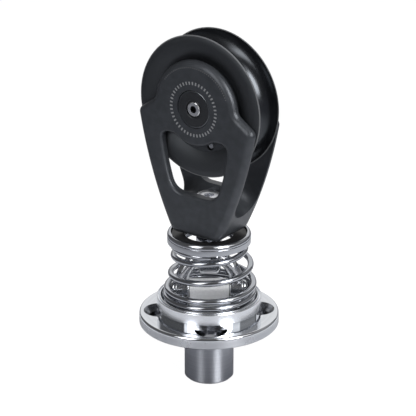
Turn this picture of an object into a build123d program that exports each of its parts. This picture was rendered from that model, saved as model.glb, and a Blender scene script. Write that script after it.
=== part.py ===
# Spring-mounted swivel block that stands on a round deck base.
# Units are millimetres, +Z is up, the deck face is Z = 0 and the sheave axle lies along Y.
import os
from math import cos, pi, radians, sin, sqrt

from build123d import *

os.makedirs("parts", exist_ok=True)

# Clearances
running_gap = 0.05
face_gap = 0.1
loose_gap = 0.35
press_gap = 0.02

# Sheave
sheave_radius = 30.0
sheave_half_width = 7.3
rim_wall = 0.7
rim_band = 2.8
rim_edge = 0.25
groove_depth = 8.2
side_step = 1.0
dish_depth = 2.0
dish_band = 7.8
step_width = 0.8
sleeve_wall = 1.45
plug_angle = -72.0
plug_radius = 1.4
plug_length = 1.6
plug_inset = 0.5
plug_margin = 0.4

# Axle and its fastenings
axle_radius = 6.5
cap_lip = 1.5
cap_thickness = 1.2
cap_recess = 0.2
cap_edge = 0.3
cap_pocket_radius = 3.8
cap_pocket_depth = 0.7
screw_head_radius = 3.05
screw_head_height = 0.8
screw_radius = 1.5
screw_length = 6.0
screw_socket_flats = 2.7
screw_socket_depth = 1.3
screw_edge = 0.25
side_ring_width = 5.0
side_ring_edge = 0.4

# One piece frame
cheek_gap = 0.5
cheek_thickness = 3.2
cheek_top_radius = 20.1
shoulder_half_width = 28.9
shoulder_drop = 5.1
shoulder_slope = 35.0
neck_inset = 5.0
side_bulge = 2.1
foot_half_width = 11.4
foot_thickness = 15.5
foot_corner = 7.0
keel_rise = 1.6
keel_round = 2.0
rim_clearance = 11.5
floor_drop = 4.5
floor_half_length = 16.0
floor_overrun = 4.0
floor_flat = 0.25
edge_round = 2.8
neck_share = 0.6
tip_round = 3.0
window_sill = 3.4
window_drop = 12.3
window_foot_half = 10.6
window_half_width = 16.6
window_bulge = 1.1
window_foot_round = 7.5
window_edge = 1.2
window_top_share = 0.467
window_horn_share = 0.292
boss_radius = 15.7

# Swivel
bolt_radius = 3.0
bolt_head_rim = 1.0
bolt_head_height = 1.0
bolt_head_edge = 0.25
bolt_socket_flats = 4.0
bolt_socket_depth = 2.2
bolt_proud = 1.0
bolt_tip = 0.5
washer_width = 2.7
washer_thickness = 1.6
washer_rim = 0.7
washer_edge = 0.2
bush_wall = 1.5
bush_flange = 0.9
stem_radius = 5.5
stem_length = 13.05
stem_engagement = 2.0
stem_thread_depth = 8.0
stem_edge = 0.4
thrust_ring_thickness = 1.1

# Eye that hangs on the bow
eye_radius = 7.1
eye_drop = 0.45
eye_half_width = 4.8
eye_edge = 2.2

# Bow and its pin, turned with the base
base_turn = 38.0
pin_rise = 10.0
pin_radius = 2.5
pin_head_rim = 0.7
pin_head_length = 1.9
pin_dome = 1.5
bow_bar_radius = 2.85
bow_arc_radius = 11.45
bow_leg = 3.1
bow_boss_rim = 1.4
bow_boss_edge = 0.5

# Lug, shank and flange
lug_side_gap = 0.3
lug_wall = 1.45
lug_foot_rim = 0.4
lug_foot_height = 1.6
stud_radius = 5.0
stud_depth = 14.0
stud_end_gap = 1.0
shank_radius = 10.5
shank_length = 25.7
shank_chamfer = 0.8
shank_register = 1.0
flange_radius = 29.65
flange_edge = 3.25
flange_top = 4.9
flange_round = 0.45
flange_step = 0.3
hole_margin = 1.9
hole_radius = 3.3
sink_radius = 6.95
hole_count = 4

# Spring seats
coil_gap = 0.4
collar_wall = 1.7
collar_floor = 1.3
collar_height = 7.5
collar_seat_width = 8.1
collar_lip = 0.6
collar_groove = 0.5
collar_edge = 0.4
cup_lip = 0.85
cup_wall = 1.6
cup_floor = 1.2
cup_height = 4.7
cup_edge = 0.3
cup_shoulder = 1.8
spigot_gap = 0.35
spigot_wall = 2.7
spigot_length = 2.9
spigot_edge = 0.4
liner_overlap = 0.3
liner_thickness = 2.6
liner_edge = 0.3

# Spring
wire_radius = 1.55
pin_room = 0.68
coil_taper = 3.25
dead_turns_low = 1.9
dead_turns_top = 1.05
active_turns = 2.0
dead_gap = 0.25

# Heights, from the deck up
pin_height = flange_top + pin_rise
bow_arc_height = pin_height + bow_leg
crown_height = bow_arc_height + bow_arc_radius
eye_height = crown_height - eye_drop
stem_top = crown_height + stem_length
foot_height = stem_top - stem_engagement
recess_top = stem_top + thrust_ring_thickness + 2 * face_gap
floor_height = foot_height + foot_thickness
bolt_top = floor_height + bolt_proud
washer_bottom = bolt_top - washer_thickness
flange_seat = washer_bottom - face_gap - bush_flange
axle_height = floor_height + rim_clearance + sheave_radius
shoulder_height = axle_height - shoulder_drop
window_floor = floor_height + window_sill
window_top = axle_height - window_drop
liner_seat = foot_height - loose_gap - liner_thickness
cup_bottom = liner_seat - cup_floor
collar_seat = flange_top + collar_floor

# Widths, from the sheave out
slot_half = sheave_half_width + cheek_gap
frame_half_width = slot_half + cheek_thickness
cap_outer = frame_half_width - cap_recess
cap_inner = cap_outer - cap_thickness
head_seat = cap_outer - cap_pocket_depth
side_face = sheave_half_width - side_step
dish_face = sheave_half_width - dish_depth
side_ring_thickness = slot_half - side_face - 2 * face_gap

# Radii, from the inside out
neck_round = neck_share * (shoulder_half_width - cheek_top_radius)
sheave_bore = axle_radius + running_gap + sleeve_wall
side_ring_radius = sheave_bore + side_ring_width
cap_radius = axle_radius + cap_lip
groove_radius = sheave_half_width - rim_wall
groove_floor_radius = sheave_radius - groove_depth
crown_radius = sheave_radius - rim_band
dish_radius = crown_radius - dish_band
plug_circle = dish_radius - step_width - plug_margin - plug_radius
bolt_head_radius = bolt_radius + bolt_head_rim
washer_radius = bolt_radius + face_gap + washer_width
bush_radius = bolt_radius + running_gap + bush_wall
bush_flange_radius = washer_radius + face_gap
pin_head_radius = pin_radius + pin_head_rim
bow_boss_radius = pin_radius + bow_boss_rim
bow_face = bow_arc_radius - bow_bar_radius
bow_outer = bow_arc_radius + bow_bar_radius
pin_start = bow_outer + press_gap
lug_half_width = bow_face - lug_side_gap
lug_half_depth = pin_radius + running_gap + lug_wall
lug_foot_radius = sqrt(lug_half_width**2 + lug_half_depth**2) + lug_foot_rim
coil_radius_low = pin_start + pin_head_length + pin_room + wire_radius
coil_radius_top = coil_radius_low - coil_taper
collar_inner = coil_radius_low + wire_radius + coil_gap
collar_radius = collar_inner + collar_wall
collar_bore = collar_radius - collar_seat_width
cup_radius = coil_radius_top + wire_radius + cup_lip
cup_inner = cup_radius - cup_wall
spigot_radius = coil_radius_top - wire_radius - spigot_gap
cup_bore = spigot_radius - spigot_wall
liner_hole = cup_bore - liner_overlap
hole_circle = flange_radius - hole_margin - sink_radius

# Planes and directions
axle_axis = Axis((0, 0, axle_height), (0, 1, 0))
turn = radians(base_turn)
side_dir = (cos(turn), sin(turn), 0)
front_dir = (sin(turn), -cos(turn), 0)
back_dir = (-sin(turn), cos(turn), 0)
side_axis = Axis((0, 0, 0), side_dir)
base_plane = Plane(origin=(0, 0, 0), x_dir=side_dir, z_dir=(0, 0, 1))
bow_plane = Plane(origin=(0, 0, 0), x_dir=side_dir, z_dir=front_dir)
pin_plane = Plane(origin=(0, 0, pin_height), x_dir=back_dir, z_dir=side_dir)
wheel_plane = Plane(origin=(0, 0, axle_height), x_dir=(0, 1, 0), z_dir=(1, 0, 0))

# Sheave: turned wheel with a round groove for the line and dished sides
with BuildPart() as sheave:
    with BuildSketch(wheel_plane):
        with BuildLine():
            lip = sheave_radius - rim_edge
            groove_centre = groove_floor_radius + groove_radius
            mouth = sqrt(groove_radius**2 - (lip - groove_centre) ** 2)
            step_radius = dish_radius - step_width
            ThreePointArc((-mouth, lip), (0, groove_floor_radius), (mouth, lip))
            for s in (-1, 1):
                Line((s * mouth, lip), (s * (mouth + rim_edge / 2), sheave_radius))
                ThreePointArc(
                    (s * (mouth + rim_edge / 2), sheave_radius),
                    (s * (sheave_half_width - rim_edge), (sheave_radius + crown_radius) / 2 + rim_edge),
                    (s * sheave_half_width, crown_radius),
                )
                Spline(
                    (s * sheave_half_width, crown_radius),
                    (s * dish_face, dish_radius),
                    tangents=[(0, -1), (-s * dish_depth, -dish_band * 0.5)],
                )
                Polyline(
                    (s * dish_face, dish_radius),
                    (s * dish_face, step_radius),
                    (s * side_face, step_radius),
                    (s * side_face, sheave_bore),
                )
            Line((-side_face, sheave_bore), (side_face, sheave_bore))
        make_face()
    revolve(axis=axle_axis)
    with BuildSketch(Plane.XZ.offset(side_face)):
        with Locations((0, axle_height)):
            with PolarLocations(plug_circle, 1, plug_angle):
                Circle(plug_radius + loose_gap)
    extrude(amount=-plug_length, mode=Mode.SUBTRACT)
sheave.part.label = "sheave"
export_step(sheave.part, "parts/sheave.step")

# Plug that closes the ball filling hole in the near side of the sheave
with BuildPart() as race_plug:
    with BuildSketch(Plane.XZ.offset(side_face - plug_length)):
        with Locations((0, axle_height)):
            with PolarLocations(plug_circle, 1, plug_angle):
                Circle(plug_radius)
    extrude(amount=plug_length - plug_inset)
    chamfer(race_plug.faces().sort_by(Axis.Y)[0].edges(), cap_edge)
race_plug.part.label = "race_plug"
export_step(race_plug.part, "parts/race_plug.step")

# Bearing sleeve pressed in the sheave, running on the axle
with BuildPart() as bearing_sleeve:
    with BuildSketch(Plane.XZ):
        with Locations((0, axle_height)):
            Circle(sheave_bore - press_gap)
            Circle(axle_radius + running_gap, mode=Mode.SUBTRACT)
    extrude(amount=side_face, both=True)
bearing_sleeve.part.label = "bearing_sleeve"
export_step(bearing_sleeve.part, "parts/bearing_sleeve.step")

# Side rings that keep the sheave off the cheeks
with BuildPart() as side_ring_near:
    with BuildSketch(Plane.XZ.offset(side_face)):
        with Locations((0, axle_height)):
            Circle(side_ring_radius)
            Circle(axle_radius + loose_gap, mode=Mode.SUBTRACT)
    extrude(amount=side_ring_thickness)
    chamfer(side_ring_near.faces().sort_by(Axis.Y)[0].edges().sort_by(SortBy.RADIUS)[-1], side_ring_edge)
side_ring_near.part.label = "side_ring_near"
export_step(side_ring_near.part, "parts/side_ring_near.step")

with BuildPart() as side_ring_far:
    with BuildSketch(Plane.XZ.offset(-side_face)):
        with Locations((0, axle_height)):
            Circle(side_ring_radius)
            Circle(axle_radius + loose_gap, mode=Mode.SUBTRACT)
    extrude(amount=-side_ring_thickness)
    chamfer(side_ring_far.faces().sort_by(Axis.Y)[-1].edges().sort_by(SortBy.RADIUS)[-1], side_ring_edge)
side_ring_far.part.label = "side_ring_far"
export_step(side_ring_far.part, "parts/side_ring_far.step")

# Axle through both cheeks, tapped at each end
with BuildPart() as axle:
    with BuildSketch(Plane.XZ):
        with Locations((0, axle_height)):
            Circle(axle_radius)
            Circle(screw_radius + running_gap, mode=Mode.SUBTRACT)
    extrude(amount=cap_inner, both=True)
axle.part.label = "axle"
export_step(axle.part, "parts/axle.step")

# Caps that cover the axle ends, each with a pocket for its screw
with BuildPart() as axle_cap_near:
    with BuildSketch(Plane.XZ.offset(cap_inner)):
        with Locations((0, axle_height)):
            Circle(cap_radius)
    extrude(amount=cap_thickness)
    fillet(axle_cap_near.faces().sort_by(Axis.Y)[0].edges(), cap_edge)
    with BuildSketch(Plane.XZ.offset(head_seat)):
        with Locations((0, axle_height)):
            Circle(cap_pocket_radius)
    extrude(amount=cap_thickness, mode=Mode.SUBTRACT)
    with BuildSketch(Plane.XZ.offset(cap_inner)):
        with Locations((0, axle_height)):
            Circle(screw_radius + face_gap)
    extrude(amount=cap_thickness, mode=Mode.SUBTRACT)
axle_cap_near.part.label = "axle_cap_near"
export_step(axle_cap_near.part, "parts/axle_cap_near.step")

with BuildPart() as axle_cap_far:
    with BuildSketch(Plane.XZ.offset(-cap_inner)):
        with Locations((0, axle_height)):
            Circle(cap_radius)
    extrude(amount=-cap_thickness)
    fillet(axle_cap_far.faces().sort_by(Axis.Y)[-1].edges(), cap_edge)
    with BuildSketch(Plane.XZ.offset(-head_seat)):
        with Locations((0, axle_height)):
            Circle(cap_pocket_radius)
    extrude(amount=-cap_thickness, mode=Mode.SUBTRACT)
    with BuildSketch(Plane.XZ.offset(-cap_inner)):
        with Locations((0, axle_height)):
            Circle(screw_radius + face_gap)
    extrude(amount=-cap_thickness, mode=Mode.SUBTRACT)
axle_cap_far.part.label = "axle_cap_far"
export_step(axle_cap_far.part, "parts/axle_cap_far.step")

# Screws that hold the caps on the axle
with BuildPart() as axle_screw_near:
    with BuildSketch(Plane.XZ.offset(head_seat)):
        with Locations((0, axle_height)):
            Circle(screw_head_radius)
    extrude(amount=screw_head_height)
    chamfer(axle_screw_near.faces().sort_by(Axis.Y)[0].edges(), screw_edge)
    with BuildSketch(Plane.XZ.offset(head_seat)):
        with Locations((0, axle_height)):
            Circle(screw_radius)
    extrude(amount=-screw_length)
    with BuildSketch(Plane.XZ.offset(head_seat + screw_head_height)):
        with Locations((0, axle_height)):
            RegularPolygon(screw_socket_flats / 2, 6, major_radius=False)
    extrude(amount=-screw_socket_depth, mode=Mode.SUBTRACT)
axle_screw_near.part.label = "axle_screw_near"
export_step(axle_screw_near.part, "parts/axle_screw_near.step")

with BuildPart() as axle_screw_far:
    with BuildSketch(Plane.XZ.offset(-head_seat)):
        with Locations((0, axle_height)):
            Circle(screw_head_radius)
    extrude(amount=-screw_head_height)
    chamfer(axle_screw_far.faces().sort_by(Axis.Y)[-1].edges(), screw_edge)
    with BuildSketch(Plane.XZ.offset(-head_seat)):
        with Locations((0, axle_height)):
            Circle(screw_radius)
    extrude(amount=screw_length)
    with BuildSketch(Plane.XZ.offset(-head_seat - screw_head_height)):
        with Locations((0, axle_height)):
            RegularPolygon(screw_socket_flats / 2, 6, major_radius=False)
    extrude(amount=screw_socket_depth, mode=Mode.SUBTRACT)
axle_screw_far.part.label = "axle_screw_far"
export_step(axle_screw_far.part, "parts/axle_screw_far.step")

# Frame: two cheeks and a keeled foot machined in one piece
with BuildPart() as frame:
    rise = sin(radians(shoulder_slope)) / cos(radians(shoulder_slope))
    neck_x = cheek_top_radius - neck_inset
    neck_z = shoulder_height + rise * (shoulder_half_width - neck_x)
    run_x = shoulder_half_width - foot_half_width
    run_z = shoulder_height - foot_height
    run = sqrt(run_x**2 + run_z**2)
    side_x = (shoulder_half_width + foot_half_width) / 2 + side_bulge * run_z / run
    side_z = (shoulder_height + foot_height) / 2 - side_bulge * run_x / run
    top_z = axle_height + cheek_top_radius
    with BuildSketch(Plane.XZ) as outline:
        with BuildLine():
            for s in (-1, 1):
                ThreePointArc(
                    (s * shoulder_half_width, shoulder_height),
                    (s * side_x, side_z),
                    (s * foot_half_width, foot_height),
                )
                Line((s * shoulder_half_width, shoulder_height), (s * neck_x, neck_z))
            Line((-foot_half_width, foot_height), (foot_half_width, foot_height))
            Line((-neck_x, neck_z), (neck_x, neck_z))
        make_face()
        with Locations((0, axle_height)):
            Circle(cheek_top_radius)
        fillet(outline.vertices().group_by(Axis.Y)[0], foot_corner)
        fillet(outline.vertices().sort_by(Axis.X)[0], tip_round)
        fillet(outline.vertices().sort_by(Axis.X)[-1], tip_round)
        neck = outline.vertices().filter_by(
            lambda v: abs((v.X**2 + (v.Y - axle_height) ** 2) ** 0.5 - cheek_top_radius) < 0.01
        )
        fillet(neck.filter_by(lambda v: abs(v.X) > cheek_top_radius / 2), neck_round)
    extrude(amount=frame_half_width, both=True)
    rims = frame.faces().sort_by(Axis.Y)
    fillet(rims[0].outer_wire().edges() + rims[-1].outer_wire().edges(), edge_round)
    # keeled underside, rounded where it meets the cheeks
    with BuildSketch(Plane.YZ) as keel:
        with BuildLine():
            ThreePointArc(
                (-frame_half_width, foot_height + keel_rise),
                (0, foot_height),
                (frame_half_width, foot_height + keel_rise),
            )
            Line((frame_half_width, foot_height + keel_rise), (frame_half_width, top_z))
            Line((frame_half_width, top_z), (-frame_half_width, top_z))
            Line((-frame_half_width, top_z), (-frame_half_width, foot_height + keel_rise))
        make_face()
        fillet(keel.vertices().filter_by(lambda v: v.Y < floor_height), keel_round)
    extrude(amount=shoulder_half_width, both=True, mode=Mode.INTERSECT)
    # slot for the sheave, with a crowned floor
    floor_radius = (floor_half_length**2 + floor_drop**2) / (2 * floor_drop)
    reach = floor_half_length + floor_overrun
    dip = floor_height - floor_radius + sqrt(floor_radius**2 - reach**2)
    with BuildSketch(Plane.XZ):
        with BuildLine():
            ThreePointArc((-reach, dip), (0, floor_height), (reach, dip))
            Polyline(
                (reach, dip),
                (shoulder_half_width + reach, dip),
                (shoulder_half_width + reach, top_z + reach),
                (-shoulder_half_width - reach, top_z + reach),
                (-shoulder_half_width - reach, dip),
                (-reach, dip),
            )
        make_face()
    extrude(amount=slot_half, both=True, mode=Mode.SUBTRACT)
    fillet(
        frame.edges()
        .filter_by(GeomType.CIRCLE)
        .filter_by(lambda e: abs(e.radius - floor_radius) < 0.01),
        slot_half - floor_flat,
    )
    # windows in both cheeks, with the boss round the axle left standing
    run_x = window_half_width - window_foot_half
    run_z = window_top - window_floor
    run = sqrt(run_x**2 + run_z**2)
    side_x = (window_half_width + window_foot_half) / 2 + window_bulge * run_z / run
    side_z = (window_top + window_floor) / 2 - window_bulge * run_x / run
    horn_x = sqrt(boss_radius**2 - window_drop**2)
    lobe = window_half_width - horn_x
    with BuildSketch(Plane.XZ) as window:
        with BuildLine():
            for s in (-1, 1):
                ThreePointArc(
                    (s * window_foot_half, window_floor),
                    (s * side_x, side_z),
                    (s * window_half_width, window_top),
                )
            Line((-window_foot_half, window_floor), (window_foot_half, window_floor))
            Line((-window_half_width, window_top), (window_half_width, window_top))
        make_face()
        with Locations((0, axle_height)):
            Circle(boss_radius, mode=Mode.SUBTRACT)
        fillet(window.vertices().group_by(Axis.Y)[0], window_foot_round)
        fillet(window.vertices().sort_by(Axis.X)[0], window_top_share * lobe)
        fillet(window.vertices().sort_by(Axis.X)[-1], window_top_share * lobe)
        horns = window.vertices().filter_by(
            lambda v: abs((v.X**2 + (v.Y - axle_height) ** 2) ** 0.5 - boss_radius) < 0.01
        )
        fillet(horns, window_horn_share * lobe)
    extrude(amount=frame_half_width + reach, both=True, mode=Mode.SUBTRACT)
    rims = frame.faces().filter_by(Axis.Y).sort_by(Axis.Y)
    fillet(rims[0].inner_wires().edges() + rims[-1].inner_wires().edges(), window_edge)
    # seats for the axle and its caps
    with BuildSketch(Plane.XZ):
        with Locations((0, axle_height)):
            Circle(axle_radius + press_gap)
    extrude(amount=frame_half_width + reach, both=True, mode=Mode.SUBTRACT)
    with BuildSketch(Plane.XZ.offset(cap_inner), Plane.XZ.offset(-frame_half_width)):
        with Locations((0, axle_height)):
            Circle(cap_radius + face_gap)
    extrude(amount=frame_half_width - cap_inner, mode=Mode.SUBTRACT)
    # swivel bore with its two recesses
    with BuildSketch(Plane.XY.offset(foot_height - floor_overrun)):
        Circle(bush_radius + press_gap)
    extrude(amount=floor_height, mode=Mode.SUBTRACT)
    with BuildSketch(Plane.XY.offset(flange_seat)):
        Circle(bush_flange_radius + face_gap * 2)
    extrude(amount=floor_height, mode=Mode.SUBTRACT)
    with BuildSketch(Plane.XY.offset(recess_top)):
        Circle(stem_radius + loose_gap * 2)
    extrude(amount=-stem_engagement - floor_overrun, mode=Mode.SUBTRACT)
frame.part.label = "frame"
export_step(frame.part, "parts/frame.step")

# Flanged bush in the foot of the frame
with BuildPart() as swivel_bush:
    with BuildSketch(Plane.XY.offset(recess_top)):
        Circle(bush_radius)
    extrude(amount=flange_seat - recess_top)
    with BuildSketch(Plane.XY.offset(flange_seat)):
        Circle(bush_flange_radius)
    extrude(amount=bush_flange)
    with BuildSketch(Plane.XY.offset(recess_top)):
        Circle(bolt_radius + running_gap)
    extrude(amount=flange_seat - recess_top + bush_flange, mode=Mode.SUBTRACT)
swivel_bush.part.label = "swivel_bush"
export_step(swivel_bush.part, "parts/swivel_bush.step")

# Thrust ring between the stem and the foot of the frame
with BuildPart() as thrust_ring:
    with BuildSketch(Plane.XY.offset(recess_top)):
        Circle(stem_radius + face_gap)
        Circle(bolt_radius + face_gap, mode=Mode.SUBTRACT)
    extrude(amount=-thrust_ring_thickness)
thrust_ring.part.label = "thrust_ring"
export_step(thrust_ring.part, "parts/thrust_ring.step")

# Swivel bolt with a socket head
with BuildPart() as swivel_bolt:
    bolt_end = stem_top - stem_thread_depth + bolt_tip
    with BuildSketch(Plane.XZ):
        with BuildLine():
            Polyline(
                (0, bolt_end),
                (bolt_radius - bolt_tip, bolt_end),
                (bolt_radius, bolt_end + bolt_tip),
                (bolt_radius, bolt_top - bolt_head_height),
                (bolt_head_radius, bolt_top - bolt_head_height),
                (bolt_head_radius, bolt_top - bolt_head_edge),
                (bolt_head_radius - bolt_head_edge, bolt_top),
                (0, bolt_top),
                close=True,
            )
        make_face()
    revolve(axis=Axis.Z)
    with BuildSketch(Plane.XY.offset(bolt_top)):
        RegularPolygon(bolt_socket_flats / 2, 6, major_radius=False)
    extrude(amount=-bolt_socket_depth, mode=Mode.SUBTRACT)
swivel_bolt.part.label = "swivel_bolt"
export_step(swivel_bolt.part, "parts/swivel_bolt.step")

# Dished washer under the head of the bolt
with BuildPart() as swivel_washer:
    with BuildSketch(Plane.XZ):
        with BuildLine():
            head_bottom = bolt_top - bolt_head_height
            Polyline(
                (bolt_radius + face_gap, washer_bottom),
                (washer_radius, washer_bottom),
                (washer_radius, bolt_top - washer_edge),
                (washer_radius - washer_edge, bolt_top),
                (washer_radius - washer_rim, bolt_top),
                (bolt_head_radius + face_gap, head_bottom + washer_edge),
                (bolt_head_radius + face_gap, head_bottom),
                (bolt_radius + face_gap, head_bottom),
                close=True,
            )
        make_face()
    revolve(axis=Axis.Z)
swivel_washer.part.label = "swivel_washer"
export_step(swivel_washer.part, "parts/swivel_washer.step")

# Swivel eye: a hoop round the bow with a stem that carries the frame
with BuildPart() as swivel_eye:
    with BuildSketch(pin_plane.offset(-eye_half_width)):
        with Locations((0, eye_height - pin_height)):
            Circle(eye_radius)
    extrude(amount=2 * eye_half_width)
    fillet(swivel_eye.edges().filter_by(GeomType.CIRCLE), eye_edge)
    with BuildSketch(base_plane.offset(eye_height + eye_radius - stem_radius / 2)):
        Circle(stem_radius)
    extrude(amount=stem_top - eye_height - eye_radius + stem_radius / 2)
    with BuildSketch(base_plane.offset(bow_arc_height)):
        with Locations((bow_arc_radius, 0)):
            Circle(bow_bar_radius + loose_gap)
    revolve(axis=Axis((0, 0, bow_arc_height), front_dir), mode=Mode.SUBTRACT)
    with BuildSketch(base_plane.offset(stem_top)):
        Circle(bolt_radius + press_gap)
    extrude(amount=-stem_thread_depth, mode=Mode.SUBTRACT)
    chamfer(swivel_eye.faces().sort_by(Axis.Z)[-1].outer_wire().edges(), stem_edge)
swivel_eye.part.label = "swivel_eye"
export_step(swivel_eye.part, "parts/swivel_eye.step")

# Bow: a round bar bent to a U, with a boss for the pin at each end
with BuildPart() as bow:
    with BuildLine(bow_plane) as bow_line:
        Line((-bow_arc_radius, pin_height), (-bow_arc_radius, bow_arc_height))
        ThreePointArc(
            (-bow_arc_radius, bow_arc_height),
            (0, bow_arc_height + bow_arc_radius),
            (bow_arc_radius, bow_arc_height),
        )
        Line((bow_arc_radius, bow_arc_height), (bow_arc_radius, pin_height))
    with BuildSketch(Plane(origin=bow_line.line @ 0, z_dir=(0, 0, 1))):
        Circle(bow_bar_radius)
    sweep(path=bow_line.line)
    with BuildSketch(pin_plane.offset(bow_face), pin_plane.offset(-bow_outer)):
        Circle(bow_boss_radius)
    extrude(amount=bow_outer - bow_face)
    fillet(
        bow.edges()
        .filter_by(GeomType.CIRCLE)
        .filter_by(lambda e: abs(e.radius - bow_boss_radius) < 0.01),
        bow_boss_edge,
    )
    with BuildSketch(pin_plane.offset(-bow_outer - 1)):
        Circle(pin_radius + press_gap)
    extrude(amount=2 * bow_outer + 2, mode=Mode.SUBTRACT)
bow.part.label = "bow"
export_step(bow.part, "parts/bow.step")

# Pin with a domed head, and the domed nut on its other end
with BuildPart() as bow_pin:
    with BuildSketch(pin_plane.offset(-pin_start - pin_head_length / 2)):
        Circle(pin_radius)
    extrude(amount=2 * pin_start + pin_head_length / 2)
    with BuildSketch(pin_plane.offset(pin_start)):
        Circle(pin_head_radius)
    extrude(amount=pin_head_length)
    fillet(bow_pin.edges().filter_by(GeomType.CIRCLE).sort_by(side_axis)[-1], pin_dome)
bow_pin.part.label = "bow_pin"
export_step(bow_pin.part, "parts/bow_pin.step")

with BuildPart() as pin_nut:
    with BuildSketch(pin_plane.offset(-pin_start)):
        Circle(pin_head_radius)
    extrude(amount=-pin_head_length)
    fillet(pin_nut.edges().filter_by(GeomType.CIRCLE).sort_by(side_axis)[0], pin_dome)
    with BuildSketch(pin_plane.offset(-pin_start)):
        Circle(pin_radius + press_gap)
    extrude(amount=-pin_head_length / 2 - press_gap, mode=Mode.SUBTRACT)
pin_nut.part.label = "pin_nut"
export_step(pin_nut.part, "parts/pin_nut.step")

# Lug: round-topped block on the flange, with a stud that goes down into the shank
with BuildPart() as lug:
    with BuildSketch(pin_plane.offset(-lug_half_width)):
        Circle(lug_half_depth)
        with Locations((0, (flange_top - pin_height) / 2)):
            Rectangle(2 * lug_half_depth, pin_height - flange_top)
    extrude(amount=2 * lug_half_width)
    with BuildSketch(base_plane.offset(flange_top)):
        Circle(lug_foot_radius)
    extrude(amount=lug_foot_height)
    with BuildSketch(base_plane.offset(flange_top)):
        Circle(stud_radius)
    extrude(amount=-flange_top - stud_depth)
    with BuildSketch(pin_plane.offset(-lug_half_width - 1)):
        Circle(pin_radius + running_gap)
    extrude(amount=2 * lug_half_width + 2, mode=Mode.SUBTRACT)
lug.part.label = "lug"
export_step(lug.part, "parts/lug.step")

# Shank: turned spigot for the deck bore, screwed on the stud of the lug
with BuildPart() as shank:
    with BuildSketch(base_plane.offset(-shank_length)):
        Circle(shank_radius)
    extrude(amount=shank_length + shank_register)
    chamfer(shank.faces().sort_by(Axis.Z)[0].edges(), shank_chamfer)
    chamfer(shank.faces().sort_by(Axis.Z)[-1].edges(), shank_register)
    with BuildSketch(base_plane.offset(shank_register)):
        Circle(stud_radius + press_gap)
    extrude(amount=-shank_register - stud_depth - stud_end_gap, mode=Mode.SUBTRACT)
shank.part.label = "shank"
export_step(shank.part, "parts/shank.step")

# Flange: turned plate with a sloping top and countersunk holes
with BuildPart() as flange:
    with BuildSketch(bow_plane):
        with BuildLine():
            Polyline(
                (stud_radius + press_gap, shank_register),
                (shank_radius + face_gap, shank_register),
                (shank_radius + face_gap, 0),
                (flange_radius - flange_round / 2, 0),
                (flange_radius, flange_round / 2),
                (flange_radius, flange_edge - flange_round),
                (flange_radius - flange_round * 0.3, flange_edge - flange_round * 0.3),
                (flange_radius - flange_round, flange_edge),
                (collar_radius + flange_step, flange_top),
                (stud_radius + press_gap, flange_top),
                close=True,
            )
        make_face()
    revolve(axis=Axis.Z)
    with Locations(base_plane.offset(flange_top)):
        with PolarLocations(hole_circle, hole_count):
            CounterSinkHole(hole_radius, sink_radius, counter_sink_angle=90)
flange.part.label = "flange"
export_step(flange.part, "parts/flange.step")

# Collar: cup on the flange that holds the dead coils of the spring
with BuildPart() as collar:
    with BuildSketch(bow_plane):
        with BuildLine():
            rim = flange_top + collar_height
            Polyline(
                (collar_bore, flange_top),
                (collar_radius, flange_top),
                (collar_radius, rim - collar_edge),
                (collar_radius - collar_edge * 0.3, rim - collar_edge * 0.3),
                (collar_radius - collar_edge, rim),
                (collar_radius - collar_lip, rim),
                (collar_radius - collar_lip, rim - collar_lip),
                (collar_radius - collar_lip - collar_groove, rim - collar_lip),
                (collar_radius - collar_lip - collar_groove, rim - collar_edge / 4),
                (collar_inner + collar_edge / 2, rim - collar_edge / 4),
                (collar_inner, rim - collar_edge),
                (collar_inner, collar_seat),
                (collar_bore, collar_seat),
                close=True,
            )
        make_face()
    revolve(axis=Axis.Z)
collar.part.label = "collar"
export_step(collar.part, "parts/collar.step")

# Upper cup: polished ring that caps the spring, with a spigot inside the coils
with BuildPart() as upper_cup:
    with BuildSketch(bow_plane):
        with BuildLine():
            cup_top = cup_bottom + cup_height
            Polyline(
                (cup_bore, cup_bottom - spigot_length),
                (spigot_radius - spigot_edge, cup_bottom - spigot_length),
                (spigot_radius, cup_bottom - spigot_length + spigot_edge),
                (spigot_radius, cup_bottom),
                (cup_radius - cup_edge, cup_bottom),
                (cup_radius, cup_bottom + cup_edge),
                (cup_radius, cup_top - cup_shoulder),
            )
            ThreePointArc(
                (cup_radius, cup_top - cup_shoulder),
                (cup_radius - cup_wall * 0.28, cup_top - cup_shoulder * 0.3),
                (cup_inner + cup_edge, cup_top),
            )
            Polyline(
                (cup_inner + cup_edge, cup_top),
                (cup_inner, cup_top - cup_edge),
                (cup_inner, cup_bottom + cup_floor),
                (cup_bore, cup_bottom + cup_floor),
                (cup_bore, cup_bottom - spigot_length),
            )
        make_face()
    revolve(axis=Axis.Z)
upper_cup.part.label = "upper_cup"
export_step(upper_cup.part, "parts/upper_cup.step")

# Liner: plastic wear ring in the upper cup, under the foot of the frame
with BuildPart() as cup_liner:
    with BuildSketch(base_plane.offset(liner_seat)):
        Circle(cup_inner - face_gap)
        Circle(liner_hole, mode=Mode.SUBTRACT)
    extrude(amount=liner_thickness)
    chamfer(cup_liner.faces().sort_by(Axis.Z)[-1].edges(), liner_edge)
cup_liner.part.label = "cup_liner"
export_step(cup_liner.part, "parts/cup_liner.step")

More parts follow.
